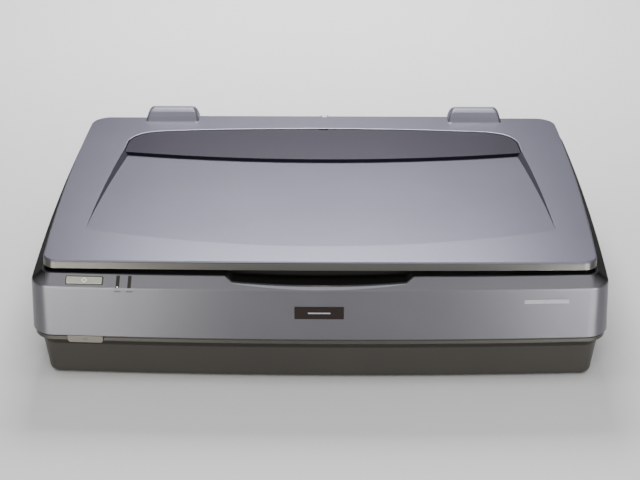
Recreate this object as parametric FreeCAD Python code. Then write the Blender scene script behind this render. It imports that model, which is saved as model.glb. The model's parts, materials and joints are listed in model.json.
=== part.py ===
import FreeCAD, Part
import math
import os
from collections import namedtuple
from FreeCAD import Vector

# Large-format flatbed scanner. Millimetres. +X right, -Y front, +Z up.
# Origin: centre of the footprint, on the surface that the feet stand on.

# ---------------------------------------------------------------- driving dimensions
# A plan is a rounded rectangle whose front and sides are long, shallow arcs.
Plan = namedtuple("Plan", "half_width front rear front_bow side_bow front_radius rear_radius")
BASE = Plan(328.0, -229.0, 229.0, 9.9, 5.3, 28.0, 24.0)
LID = Plan(313.2, -205.0, 220.5, 4.0, 5.5, 16.0, 24.0)
# the lid's outline carried up to LID_HIGH_Z along its leaning front wall
LID_HIGH = Plan(313.2, -197.1, 220.5, 1.2, 5.5, 16.0, 24.0)
LID_HIGH_Z = 155.0

# base heights and insets from the base plan
BODY_BOTTOM_Z = 2.1
FLOOR_TOP_Z = 5.1
LIP_BOTTOM_Z = 53.0
LIP_TOP_Z = 57.5
SEAM_Z = 60.4
CREASE_Z = 120.3
RIM_Z = 130.8
LIP_INSET = 2.2
BODY_TOP_INSET = 9.0
BODY_BOTTOM_INSET = 15.6
CREASE_INSET = 2.4
RIM_INSET = 15.0
WALL = 3.0
BED_INSET = 17.6
BED_TOP_Z = 129.0
BED_THICK = 4.5

# glass and what lies on it
GLASS_HALF_X, GLASS_FRONT, GLASS_REAR, GLASS_THICK = 227.5, -174.0, 154.0, 3.0
SCAN_HALF_X, SCAN_FRONT, SCAN_REAR = 218.5, -165.0, 145.0

# lid
LID_BOTTOM_Z = 134.6
LID_FRONT_TOP_Z = 143.4
LID_REAR_TOP_Z = 146.5
LID_WALL = 2.4
LIP_REAR_Y = 226.0
LIP_HALF_X = 172.0
DISH_RADIUS = 33000.0
DISH_SLOPE = 0.026
DISH_FRONT_Y = -163.0
DISH_REAR_Y = 108.0
CRESCENT_TIP_X = 255.0
POCKET_DEPTH = 7.2
CRESCENT_DROP, CRESCENT_THICK = 0.7, 2.3

# hinges
HINGE_X = 202.0
PIVOT_Y, PIVOT_Z = 219.0, 141.0
PIN_RADIUS = 2.5
KNUCKLE_RADIUS = 5.0
POST_HALF_X, POST_HALF_Y = 17.0, 3.0
POST_BOTTOM_Z = 70.5
RUNNING_CLEARANCE = 0.05

# carriage drive
ROD_Y, ROD_Z, ROD_RADIUS = 172.0, 100.0, 5.0
CARRIAGE_X0, CARRIAGE_X1 = -258.0, -198.0
CARRIAGE_Y0, CARRIAGE_Y1 = -176.0, 160.0
CARRIAGE_Z0, CARRIAGE_Z1 = 92.0, 123.4
PULLEY_X, PULLEY_Y, PULLEY_RADIUS = 290.0, 195.0, 10.0
GEAR_TEETH, PINION_TEETH, GEAR_MODULE = 36, 12, 1.0
GEAR_SPACING = 24.15

# front controls: centre X, half width
START_X, START_HALF = -260.0, 20.2
START_LOW, START_HIGH = 4.2, 12.7
POWER_X, POWER_HALF = -262.0, 19.8
POWER_LOW_Z = 51.6
LED_XS = (-222.6, -209.6)
WELL_TOP_HALF, WELL_BOTTOM_HALF = 105.4, 96.2

# rear connectors: name, centre X, mouth width, mouth height, depth
PORT_Z = 34.0
PORT_WINDOW_X0, PORT_WINDOW_X1, PORT_WINDOW_HALF = -170.0, 200.0, 12.0
PORTS = (
    ("power_inlet", -140.0, 24.4, 17.0, 17.0),
    ("data_port", 70.0, 8.6, 8.0, 13.0),
    ("bus_ports", 100.0, 6.2, 11.4, 12.0),
    ("bus_ports", 122.0, 6.2, 11.4, 12.0),
    ("option_port", 165.0, 40.0, 8.0, 9.0),
)

os.makedirs("parts", exist_ok=True)


# ---------------------------------------------------------------- helpers
def save(name, *solids):
    """Write one node; several solids stay separate in one compound."""
    shape = solids[0] if len(solids) == 1 else Part.makeCompound(list(solids))
    shape.exportStep("parts/" + name + ".step")


def box(x0, x1, y0, y1, z0, z1):
    return Part.makeBox(x1 - x0, y1 - y0, z1 - z0, Vector(x0, y0, z0))


def cylinder(x, y, z, axis, radius, length):
    return Part.makeCylinder(radius, length, Vector(x, y, z), Vector(*axis))


def polygon(points, direction):
    wire = Part.makePolygon([Vector(*p) for p in points] + [Vector(*points[0])])
    return Part.Face(wire).extrude(Vector(*direction))


def prism_yz(points, x0, x1):
    return polygon([(x0, y, z) for y, z in points], (x1 - x0, 0, 0))


def prism_xz(points, y0, y1):
    return polygon([(x, y0, z) for x, z in points], (0, y1 - y0, 0))


def prism_xy(points, z0, z1):
    return polygon([(x, y, z0) for x, y in points], (0, 0, z1 - z0))


def fuse(first, *rest):
    return first.multiFuse(list(rest)).removeSplitter()


def cut(shape, *tools):
    for tool in tools:
        shape = shape.cut(tool)
    return shape


def upright_edges(shape):
    """Straight edges parallel to Z."""
    found = []
    for edge in shape.Edges:
        a, b = edge.Vertexes[0].Point, edge.Vertexes[-1].Point
        if abs(a.x - b.x) < 1e-6 and abs(a.y - b.y) < 1e-6 and abs(a.z - b.z) > 1e-6:
            found.append(edge)
    return found


def rounded_box(x0, x1, y0, y1, z0, z1, radius):
    block = box(x0, x1, y0, y1, z0, z1)
    return block.makeFillet(radius, upright_edges(block))


def arc(a, b, c):
    return Part.Arc(Vector(*a), Vector(*b), Vector(*c)).toShape()


def line(a, b):
    return Part.LineSegment(Vector(*a), Vector(*b)).toShape()


def toward(start, end, distance):
    dx, dy = end[0] - start[0], end[1] - start[1]
    length = math.hypot(dx, dy)
    return (start[0] + dx / length * distance, start[1] + dy / length * distance)


def plan_wire(plan, inset, z):
    """The plan's outline moved inwards by inset, as tangent arcs and one line, at height z."""
    front_r = (plan.half_width ** 2 + plan.front_bow ** 2) / (2 * plan.front_bow)
    half_depth = (plan.rear - plan.front) / 2
    middle = (plan.rear + plan.front) / 2
    side_r = (half_depth ** 2 + plan.side_bow ** 2) / (2 * plan.side_bow)
    front_c = (0.0, plan.front + front_r)
    side_c = (plan.half_width - side_r, middle)

    # front corner: a circle inside both long arcs, found where two larger circles cross
    reach_f, reach_s = front_r - plan.front_radius, side_r - plan.front_radius
    dx, dy = side_c[0] - front_c[0], side_c[1] - front_c[1]
    span = math.hypot(dx, dy)
    along = (reach_f ** 2 - reach_s ** 2 + span ** 2) / (2 * span)
    off = math.sqrt(reach_f ** 2 - along ** 2)
    options = []
    for sign in (1, -1):
        options.append((front_c[0] + (along * dx - sign * off * dy) / span,
                        front_c[1] + (along * dy + sign * off * dx) / span))
    corner_f = max(options, key=lambda p: p[0] - p[1])
    corner_r_y = plan.rear - plan.rear_radius
    corner_r_x = side_c[0] + math.sqrt((side_r - plan.rear_radius) ** 2 - (corner_r_y - middle) ** 2)
    corner_r = (corner_r_x, corner_r_y)

    front_tangent = toward(front_c, corner_f, front_r - inset)
    side_tangent = toward(side_c, corner_f, side_r - inset)
    side_rear = toward(side_c, corner_r, side_r - inset)
    rear_tangent = (corner_r[0], plan.rear - inset)

    def corner_mid(centre, a, b, radius):
        """Middle of a corner's arc."""
        return toward(centre, ((a[0] + b[0]) / 2, (a[1] + b[1]) / 2), radius)

    front_mid = corner_mid(corner_f, front_tangent, side_tangent, plan.front_radius - inset)
    rear_mid = corner_mid(corner_r, side_rear, rear_tangent, plan.rear_radius - inset)
    half = [(front_tangent, front_mid, side_tangent),
            (side_tangent, (plan.half_width - inset, middle), side_rear),
            (side_rear, rear_mid, rear_tangent)]
    edges = [arc((-front_tangent[0], front_tangent[1], z), (0, plan.front + inset, z),
                 (front_tangent[0], front_tangent[1], z))]
    for a, b, c in half:
        edges.append(arc(a + (z,), b + (z,), c + (z,)))
    edges.append(line(rear_tangent + (z,), (-rear_tangent[0], rear_tangent[1], z)))
    for a, b, c in reversed(half):
        edges.append(arc((-c[0], c[1], z), (-b[0], b[1], z), (-a[0], a[1], z)))
    return Part.Wire(edges)


def stack(plan, *sections):
    """A solid through (inset, z) outlines with straight walls between them."""
    return Part.makeLoft([plan_wire(plan, inset, z) for inset, z in sections], True, True)


def level_edges(shape, z, outer_reach):
    """Edges that lie at height z and pass outside outer_reach from the centre in Y."""
    found = []
    for edge in shape.Edges:
        points = edge.discretize(5)
        if all(abs(p.z - z) < 1e-4 for p in points):
            if any(abs(p.y) > outer_reach or abs(p.x) > outer_reach + 60 for p in points):
                found.append(edge)
    return found


def front_y(x, inset):
    """Y of the base's front arc at x, moved inwards by inset."""
    radius = (BASE.half_width ** 2 + BASE.front_bow ** 2) / (2 * BASE.front_bow)
    return BASE.front + radius - math.sqrt((radius - inset) ** 2 - x ** 2)


def front_turn(x):
    """Angle in degrees by which the front arc's normal turns away from -Y at x."""
    radius = (BASE.half_width ** 2 + BASE.front_bow ** 2) / (2 * BASE.front_bow)
    return math.degrees(math.asin(x / radius))


# ---------------------------------------------------------------- front controls' frames
BEVEL_RISE = RIM_Z - CREASE_Z
BEVEL_RUN = RIM_INSET - CREASE_INSET
BEVEL_LENGTH = math.hypot(BEVEL_RISE, BEVEL_RUN)
BEVEL_ANGLE = math.degrees(math.atan2(BEVEL_RUN, BEVEL_RISE))


def on_bevel(shape, x):
    """Carry a shape from a local frame to the bevel at x.

    Local frame: +X along the front, +Z up the bevel from the crease, -Y outwards.
    """
    placed = shape.copy()
    placed.rotate(Vector(0, 0, 0), Vector(1, 0, 0), -BEVEL_ANGLE)
    placed.rotate(Vector(0, 0, 0), Vector(0, 0, 1), front_turn(x))
    placed.translate(Vector(x, front_y(x, CREASE_INSET), CREASE_Z))
    return placed


def on_front(shape, x, inset):
    """Carry a shape from a local frame to the front wall at x; -Y points outwards."""
    placed = shape.copy()
    placed.rotate(Vector(0, 0, 0), Vector(0, 0, 1), front_turn(x))
    placed.translate(Vector(x, front_y(x, inset), 0))
    return placed


# ---------------------------------------------------------------- openings in the housings
def well_prism(side_gap, floor_gap, y0, y1):
    """Finger well's section: slanted ends and a floor that sags to the middle."""
    top, bottom = WELL_TOP_HALF + side_gap, WELL_BOTTOM_HALF + side_gap
    floor_z, sag_z = 126.0 - floor_gap, 123.4 - floor_gap
    lift = RIM_Z + 6.0
    edges = [
        line((-top, y0, lift), (-top, y0, RIM_Z + 0.6)),
        line((-top, y0, RIM_Z + 0.6), (-bottom, y0, floor_z)),
        arc((-bottom, y0, floor_z), (0, y0, sag_z), (bottom, y0, floor_z)),
        line((bottom, y0, floor_z), (top, y0, RIM_Z + 0.6)),
        line((top, y0, RIM_Z + 0.6), (top, y0, lift)),
        line((top, y0, lift), (-top, y0, lift)),
    ]
    return Part.Face(Part.Wire(edges)).extrude(Vector(0, y1 - y0, 0))


WELL_REAR_Y = -196.0


def post_hole(x, gap, z0, z1):
    return box(x - POST_HALF_X - gap, x + POST_HALF_X + gap,
               PIVOT_Y - POST_HALF_Y - gap, PIVOT_Y + POST_HALF_Y + gap, z0, z1)


def start_button_outline(gap, y0, y1):
    return rounded_prism(-START_HALF - gap, START_HALF + gap, START_LOW - gap, START_HIGH + gap,
                         1.2 + gap, y0, y1)


def rounded_prism(x0, x1, z0, z1, radius, y0, y1):
    """A rounded rectangle in XZ, extruded along Y."""
    flat = rounded_box(x0, x1, z0, z1, 0, y1 - y0, radius)
    flat.rotate(Vector(0, 0, 0), Vector(1, 0, 0), 90)
    flat.translate(Vector(0, y1, 0))
    return flat


def power_button_outline(gap, y0, y1):
    """A tab under the seam with rounded lower corners."""
    block = box(-POWER_HALF - gap, POWER_HALF + gap, y0, y1, POWER_LOW_Z - gap, SEAM_Z - 0.4 + gap)
    lower = []
    for edge in block.Edges:
        a, b = edge.Vertexes[0].Point, edge.Vertexes[-1].Point
        if abs(a.y - b.y) > 1e-6 and a.z < POWER_LOW_Z + 1:
            lower.append(edge)
    return block.makeFillet(3.2 + gap, lower)


def led_prism(gap, y0, y1):
    return box(-2.0 - gap, 2.0 + gap, y0, y1, 0.3 - gap, BEVEL_LENGTH - 1.2 + gap)


LOCK_X, LOCK_Z, LOCK_RADIUS = 235.0, 88.0, 9.0
FOOT_RADIUS = 11.0
FEET = [(sx * 262.0, y) for sx in (-1, 1) for y in (-168.0, 176.0)]


def make_upper_housing():
    outer = stack(BASE, (0, SEAM_Z), (CREASE_INSET, CREASE_Z), (RIM_INSET, RIM_Z))
    outer = outer.makeFillet(2.2, level_edges(outer, CREASE_Z, 150))
    outer = outer.makeFillet(0.8, level_edges(outer, RIM_Z, 150))
    inner = stack(BASE, (WALL, SEAM_Z - 1), (CREASE_INSET + WALL, CREASE_Z - 0.8),
                  (BED_INSET, RIM_Z - 1.3), (BED_INSET, RIM_Z + 2))
    shell = cut(outer, inner, well_prism(0, 0, -260, WELL_REAR_Y))
    for x in (-HINGE_X, HINGE_X):
        shell = cut(shell, post_hole(x, 0.9, 60, 200))
    shell = cut(shell, on_bevel(start_button_outline(0.35, -8, 8), START_X))
    for x in LED_XS:
        shell = cut(shell, on_bevel(led_prism(0, -8, 8), x))
    lock_hole = cylinder(LOCK_X, 215, LOCK_Z, (0, 1, 0), LOCK_RADIUS + 0.4, 30)
    return cut(shell, lock_hole, make_badge(), make_name_strip())


def make_badge():
    """Blank plate let into the front wall."""
    return on_front(rounded_prism(-27.3, 27.3, 86.0, 100.7, 0.6, -0.9, 0.6), 0.0, 1.6)


def make_name_strip():
    """Thin blank strip let into the front wall, near its right end."""
    return on_front(rounded_prism(-24.7, 24.7, 103.4, 108.2, 0.4, -0.55, 0.6), 251.0, 2.0)


def make_lower_housing():
    body = stack(BASE, (BODY_BOTTOM_INSET, BODY_BOTTOM_Z), (BODY_TOP_INSET, LIP_BOTTOM_Z))
    body = body.makeFillet(8.0, level_edges(body, BODY_BOTTOM_Z, 150))
    lip = stack(BASE, (LIP_INSET, LIP_BOTTOM_Z), (LIP_INSET, LIP_TOP_Z))
    tongue = stack(BASE, (WALL + 0.4, LIP_TOP_Z), (WALL + 0.6, LIP_TOP_Z + 5))
    shell = fuse(body, lip, tongue)
    cavity = stack(BASE, (BODY_BOTTOM_INSET + WALL, FLOOR_TOP_Z), (BODY_TOP_INSET + WALL, LIP_BOTTOM_Z),
                   (BODY_TOP_INSET + WALL, LIP_BOTTOM_Z + 2.4), (WALL + 2.8, LIP_BOTTOM_Z + 2.6),
                   (WALL + 2.8, LIP_TOP_Z + 8))
    shell = cut(shell, cavity)
    shell = cut(shell, on_front(power_button_outline(0.4, -6, 24), POWER_X, 0))
    # rear window behind which the connector plate sits
    shell = cut(shell, box(PORT_WINDOW_X0, PORT_WINDOW_X1, 205, 232,
                           PORT_Z - PORT_WINDOW_HALF, PORT_Z + PORT_WINDOW_HALF))
    for x, y in FEET:
        shell = cut(shell, cylinder(x, y, 0, (0, 0, 1), FOOT_RADIUS, BODY_BOTTOM_Z + 1.0))
    return shell


def make_foot(x, y):
    foot = cylinder(x, y, 0, (0, 0, 1), FOOT_RADIUS, BODY_BOTTOM_Z + 1.0)
    return foot.makeFillet(1.2, [edge for edge in foot.Edges if edge.BoundBox.ZMax < 0.01])


def make_bed_frame():
    plate = stack(BASE, (BED_INSET, BED_TOP_Z - BED_THICK), (BED_INSET, BED_TOP_Z))
    window = box(-SCAN_HALF_X, SCAN_HALF_X, SCAN_FRONT, SCAN_REAR, 100, 140)
    rebate = box(-GLASS_HALF_X, GLASS_HALF_X, GLASS_FRONT, GLASS_REAR, BED_TOP_Z - GLASS_THICK, 140)
    plate = cut(plate, window, rebate, well_prism(2.2, 2.2, -260, WELL_REAR_Y + 2))
    return plate


def make_finger_well():
    """Dark pocket behind the bevel: two slanted ends, a floor and a rear wall."""
    block = well_prism(2.0, 2.0, -224.0, WELL_REAR_Y + 1.8)
    block = cut(block, well_prism(0, 0, -240, WELL_REAR_Y))
    keep_in = stack(BASE, (WALL, 100), (CREASE_INSET + WALL, CREASE_Z - 0.8), (BED_INSET, RIM_Z - 1.3))
    keep_in = fuse(keep_in, stack(BASE, (BED_INSET, 120), (BED_INSET, BED_TOP_Z + 0.6)))
    return block.common(keep_in).common(box(-140, 140, -240, -190, 100, BED_TOP_Z + 0.6))


# ---------------------------------------------------------------- lid
LID_TILT = math.degrees(math.atan2(LID_REAR_TOP_Z - LID_FRONT_TOP_Z, LID.rear - LID.front))


def lid_top_z(y):
    return LID_FRONT_TOP_Z + (y - LID.front) * math.tan(math.radians(LID_TILT))


def tilt(shape):
    """Carry a shape drawn on a level plane at z = 0 onto the lid's sloping top."""
    placed = shape.copy()
    placed.rotate(Vector(0, LID.front, 0), Vector(1, 0, 0), LID_TILT)
    placed.translate(Vector(0, 0, LID_FRONT_TOP_Z))
    return placed


def under_lid_top(drop):
    """Everything below the lid's top plane lowered by drop."""
    return tilt(box(-400, 400, -300, 300, -60, -drop))


def dish_side(offset, z):
    """Dish outline at height z, its long side arcs moved inwards by offset."""
    front = DISH_FRONT_Y - 15.0
    right = [(271.6 - offset, front, z), (266.8 - offset, -30, z), (CRESCENT_TIP_X - offset, DISH_REAR_Y, z)]
    left = [(-x, y, h) for x, y, h in reversed(right)]
    return Part.Wire([line(left[2], right[0]), arc(*right), line(right[2], left[0]), arc(*left)])


def crescent_outline(gap, z):
    """Crescent: front arc, rounded tips and a shallow rear arc, shrunk by gap."""
    tip = (CRESCENT_TIP_X - gap, DISH_REAR_Y, z)
    bend = (253.2 - gap, 137.5, z)
    corner = (235.5 - 0.6 * gap, 165.2 - 0.8 * gap, z)
    shoulder = (205.0, 173.2 - gap, z)
    right = [(tip, bend), (bend, (246.9 - 0.8 * gap, 153.4 - 0.6 * gap, z), corner),
             (corner, (221.0 - 0.3 * gap, 170.3 - gap, z), shoulder)]

    def piece(points):
        return line(*points) if len(points) == 2 else arc(*points)
    left = [[(-x, y, h) for x, y, h in reversed(points)] for points in reversed(right)]
    edges = [piece(points) for points in right]
    edges.append(arc(shoulder, (0, 182.4 - gap, z), left[0][0]))
    edges += [piece(points) for points in left]
    edges.append(arc(left[-1][-1], (0, 86.5, z), tip))
    return Part.Wire(edges)


def trough(drop):
    """Everything above a very shallow trough that slopes down to the rear, lowered by drop."""
    half, rise = 330.0, 330.0 ** 2 / (2 * DISH_RADIUS)
    floor = arc((-half, -350, rise), (0, -350, 0), (half, -350, rise))
    walls = [line((half, -350, rise), (half, -350, 60)), line((half, -350, 60), (-half, -350, 60)),
             line((-half, -350, 60), (-half, -350, rise))]
    solid = Part.Face(Part.Wire([floor] + walls)).extrude(Vector(0, 700, 0))
    solid.rotate(Vector(0, DISH_FRONT_Y, 0), Vector(1, 0, 0), -math.degrees(DISH_SLOPE))
    solid.translate(Vector(0, 0, -drop))
    return solid


def dish_tool(grow, drop):
    """Volume to remove above the dish floor, with sloping sides, and above the crescent's pocket.

    grow widens it and drop lowers its floor, which gives the lid's wall thickness.
    """
    low, high = -12.0, 1.0
    sides = Part.makeLoft([dish_side(-low - grow, low), dish_side(-high - grow, high)], True, True)
    pocket = Part.Face(crescent_outline(-grow, -POCKET_DEPTH - drop)).extrude(
        Vector(0, 0, POCKET_DEPTH + drop + high))
    return tilt(sides.common(trough(drop)).fuse(pocket))


def hinge_notch(x):
    return box(x - 23.5, x + 23.5, 207.0, 235.0, 120, 160)


def lid_body(inset, lift):
    """Lid outline as a solid, with the deeper stretch of rear edge between the hinge covers."""
    low = LID_BOTTOM_Z + lift
    wires = [plan_wire(LID, inset, LID_BOTTOM_Z), plan_wire(LID_HIGH, inset, LID_HIGH_Z)]
    if lift < 0:
        wires.insert(0, plan_wire(LID, inset, low))
    walls = Part.makeLoft(wires, True, True)
    lip = box(-LIP_HALF_X + inset, LIP_HALF_X - inset, 200, LIP_REAR_Y - inset, low, LID_HIGH_Z)
    return fuse(walls, lip)


def make_lid_shell():
    outer = lid_body(0, 0).common(under_lid_top(0))
    top = [e for e in outer.Edges
           if all(abs(p.z - lid_top_z(p.y)) < 1e-3 for p in e.discretize(5)) and e.Length > 8]
    outer = outer.makeFillet(1.4, top)
    cavity = lid_body(LID_WALL, -5).common(under_lid_top(LID_WALL))
    cavity = cavity.cut(dish_tool(LID_WALL, LID_WALL))
    shell = cut(outer, dish_tool(0, 0), cavity)
    for x in (-HINGE_X, HINGE_X):
        shell = cut(shell, hinge_notch(x))
    # small moulded nub on the rear edge
    nub = rounded_prism(-3, 6, LID_REAR_TOP_Z - 2, LID_REAR_TOP_Z + 1.5, 1.3, 223.0, LIP_REAR_Y)
    return fuse(shell, nub)


def make_lid_crescent():
    low = -CRESCENT_DROP - CRESCENT_THICK
    plate = tilt(Part.Face(crescent_outline(0.35, low)).extrude(Vector(0, 0, CRESCENT_THICK)))
    notch = tilt(box(-6.5, 6.5, 178.4, 190, -5, 5))
    return cut(plate, notch)


def make_lid_inner_plate():
    return rounded_box(-304, 304, -197, 203, LID_BOTTOM_Z + 0.1, LID_BOTTOM_Z + 1.1, 14)


def make_hinge_cover(x):
    def ramp(gap):
        foot = lid_top_z(201.5) - 0.02
        low = 0 if gap == 0 else -4
        return prism_yz([(201.5 + 2.2 * gap, foot + low), (203.5 + 1.8 * gap, 147.6 - gap),
                         (208.0 + 1.2 * gap, 152.6 - gap), (213.0 + gap, 157.2 - gap),
                         (217.5 + gap, 159.2 - gap), (221.0 + gap, 159.8 - gap), (227.9 - gap, 159.8 - gap),
                         (229.0 - gap, 158.7 - gap), (229.0 - gap, 146.0 + low)], x - 60, x + 60)

    def hood(gap):
        low = 140 if gap == 0 else 130
        left = [(-35.2 + gap, low), (-35.2 + gap, 147.0), (-34.0 + gap, 151.0 - gap / 2)]
        left += [(-31.6 + gap, 155.6 - gap), (-28.6 + gap, 158.6 - gap), (-25.6 + gap, 159.8 - gap)]
        points = left + [(-px, pz) for px, pz in reversed(left)]
        return prism_xz([(x + px, pz) for px, pz in points], 150, 260)

    outer = ramp(0).common(hood(0))
    outer = cut(outer, under_lid_top(-0.001).common(box(-400, 400, 100, 226.001, 100, 160)))
    return cut(outer, ramp(2.2).common(hood(2.2)))


# ---------------------------------------------------------------- hinges
def make_hinge_post(x):
    blade = box(x - POST_HALF_X, x + POST_HALF_X, PIVOT_Y - POST_HALF_Y, PIVOT_Y + POST_HALF_Y,
                POST_BOTTOM_Z, PIVOT_Z)
    knuckle = cylinder(x - POST_HALF_X, PIVOT_Y, PIVOT_Z, (1, 0, 0), KNUCKLE_RADIUS, 2 * POST_HALF_X)
    bore = cylinder(x - POST_HALF_X - 1, PIVOT_Y, PIVOT_Z, (1, 0, 0), PIN_RADIUS, 2 * POST_HALF_X + 2)
    return cut(fuse(blade, knuckle), bore)


def make_hinge_pin(x):
    return cylinder(x - 22.6, PIVOT_Y, PIVOT_Z, (1, 0, 0), PIN_RADIUS, 45.2)


def make_hinge_bracket(x):
    top = lid_top_z(186) - LID_WALL - 0.02
    plate = box(x - 22, x + 22, 186, 206.5, top - 2, top)
    parts = [plate]
    for side in (-1, 1):
        a, b = sorted((x + side * 18.2, x + side * 21.2))
        ear = prism_yz([(190, top), (206, top), (217, 145.9), (222, 145.9), (224.6, 143), (224.6, 139),
                        (221.5, 135.6), (216.5, 135.6), (204, 139.8), (190, top - 2)], a, b)
        parts.append(ear)
    bracket = fuse(*parts)
    bore = cylinder(x - 30, PIVOT_Y, PIVOT_Z, (1, 0, 0), PIN_RADIUS + RUNNING_CLEARANCE, 60)
    return cut(bracket, bore)


def make_hinge_socket(x):
    wall = 2.4
    block = box(x - POST_HALF_X - wall - 0.5, x + POST_HALF_X + wall + 0.5,
                PIVOT_Y - POST_HALF_Y - wall - 0.5, PIVOT_Y + POST_HALF_Y + 0.5 + 1.0, 64, 116)
    shaft = post_hole(x, 0.5, POST_BOTTOM_Z - 0.5, 130)
    return cut(block, shaft)


# ---------------------------------------------------------------- drive train
def gear_blank(teeth, radius_gap, z0, z1, cx, cy, phase):
    """Straight-flanked gear: tooth flanks narrow from root to tip."""
    pitch_r = teeth * GEAR_MODULE / 2
    tip_r, root_r = pitch_r + 0.85 * GEAR_MODULE, pitch_r - 1.2 * GEAR_MODULE
    step = 2 * math.pi / teeth
    widths = ((root_r, 0.30), (pitch_r, 0.215), (tip_r, 0.105))
    points = []
    for k in range(teeth):
        centre = k * step + phase
        for radius, width in widths:
            points.append((radius, centre - width * step))
        for radius, width in reversed(widths):
            points.append((radius, centre + width * step))
    outline = [(cx + r * math.cos(a), cy + r * math.sin(a)) for r, a in points]
    blank = prism_xy(outline, z0, z1)
    return blank.cut(cylinder(cx, cy, z0 - 1, (0, 0, 1), radius_gap, z1 - z0 + 2))


def pulley(cx, cy, z0, z1, bore):
    body = cylinder(cx, cy, z0, (0, 0, 1), PULLEY_RADIUS - 1.0, z1 - z0)
    for z in (z0, z1 - 1.2):
        body = body.fuse(cylinder(cx, cy, z, (0, 0, 1), PULLEY_RADIUS + 1.6, 1.2))
    return body.cut(cylinder(cx, cy, z0 - 1, (0, 0, 1), bore, z1 - z0 + 2))


AXLE_RADIUS = 2.5
PINION_Y = PULLEY_Y - GEAR_SPACING


def make_drive():
    bore = AXLE_RADIUS + RUNNING_CLEARANCE
    wheel = gear_blank(GEAR_TEETH, bore, 84, 89, -PULLEY_X, PULLEY_Y, -math.pi / 2)
    hub = cylinder(-PULLEY_X, PULLEY_Y, 89, (0, 0, 1), 7, 3).cut(
        cylinder(-PULLEY_X, PULLEY_Y, 80, (0, 0, 1), bore, 20))
    save("drive_pulley", fuse(wheel, hub, pulley(-PULLEY_X, PULLEY_Y, 92, 104, bore)))
    shaft_r = 2.0
    pinion = gear_blank(PINION_TEETH, shaft_r, 83.5, 90, -PULLEY_X, PINION_Y,
                        math.pi / 2 + math.pi / PINION_TEETH)
    shaft = cylinder(-PULLEY_X, PINION_Y, 78, (0, 0, 1), shaft_r, 12)
    save("motor_pinion", fuse(pinion, shaft))
    save("idler_pulley", pulley(PULLEY_X, PULLEY_Y, 92, 104, bore))
    axles = []
    for x in (-PULLEY_X, PULLEY_X):
        axle = cylinder(x, PULLEY_Y, 82.5, (0, 0, 1), AXLE_RADIUS, 23)
        axles.append(fuse(axle, cylinder(x, PULLEY_Y, 105.5, (0, 0, 1), 4.5, 1.5)))
    save("pulley_axles", *axles)


def make_belt():
    def loop(radius, z0, z1):
        ends = [cylinder(x, PULLEY_Y, z0, (0, 0, 1), radius, z1 - z0) for x in (-PULLEY_X, PULLEY_X)]
        run = box(-PULLEY_X, PULLEY_X, PULLEY_Y - radius, PULLEY_Y + radius, z0, z1)
        return fuse(run, *ends)
    return loop(PULLEY_RADIUS + 0.7, 95, 101).cut(loop(PULLEY_RADIUS - 0.6, 94, 102))


def make_motor():
    body = cylinder(-PULLEY_X, PINION_Y, 44, (0, 0, 1), 17.5, 33)
    flange = rounded_box(-PULLEY_X - 20, -PULLEY_X + 20, PINION_Y - 20, PINION_Y + 20, 77, 79.5, 4)
    bearing = cylinder(-PULLEY_X, PINION_Y, 79.5, (0, 0, 1), 5, 1.5)
    bore = cylinder(-PULLEY_X, PINION_Y, 70, (0, 0, 1), 2.0 + RUNNING_CLEARANCE, 20)
    return cut(fuse(body, flange, bearing), bore)


def make_motor_bracket():
    plate = box(-310, -271, 149.5, 216, 79.5, 82.5)
    legs = [box(x, x + 4, 191.5, 206, FLOOR_TOP_Z, 79.5) for x in (-302, -283)]
    hole = cylinder(-PULLEY_X, PINION_Y, 70, (0, 0, 1), 8, 20)
    return cut(fuse(plate, *legs), hole)


def make_idler_bracket():
    plate = box(271, 309, 180, 216, 79.5, 82.5)
    legs = [box(x, x + 4, 184, 206, FLOOR_TOP_Z, 79.5) for x in (272, 297)]
    return fuse(plate, *legs)


def make_idler_spring():
    """Leaf spring that pushes the idler bracket outwards to tighten the belt."""
    leaf = box(262, 263.2, 184, 206, 60, 76)
    ends = [box(262, 272, 184, 185.2, 60, 76), box(262, 266, 204.8, 206, 60, 76)]
    return fuse(leaf, *ends)


def make_rod_bracket(x0):
    return box(x0, x0 + 10, ROD_Y - 12, ROD_Y + 9, FLOOR_TOP_Z, ROD_Z + 9).cut(
        cylinder(x0 - 5, ROD_Y, ROD_Z, (1, 0, 0), ROD_RADIUS, 20))


def make_slide_rail():
    strip = box(-270, 268, -190, -182, 86.0, 90.0)
    posts = [box(x, x + 6, -189, -183, FLOOR_TOP_Z, 86.0) for x in (-268, -3, 260)]
    return fuse(strip, *posts)


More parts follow.
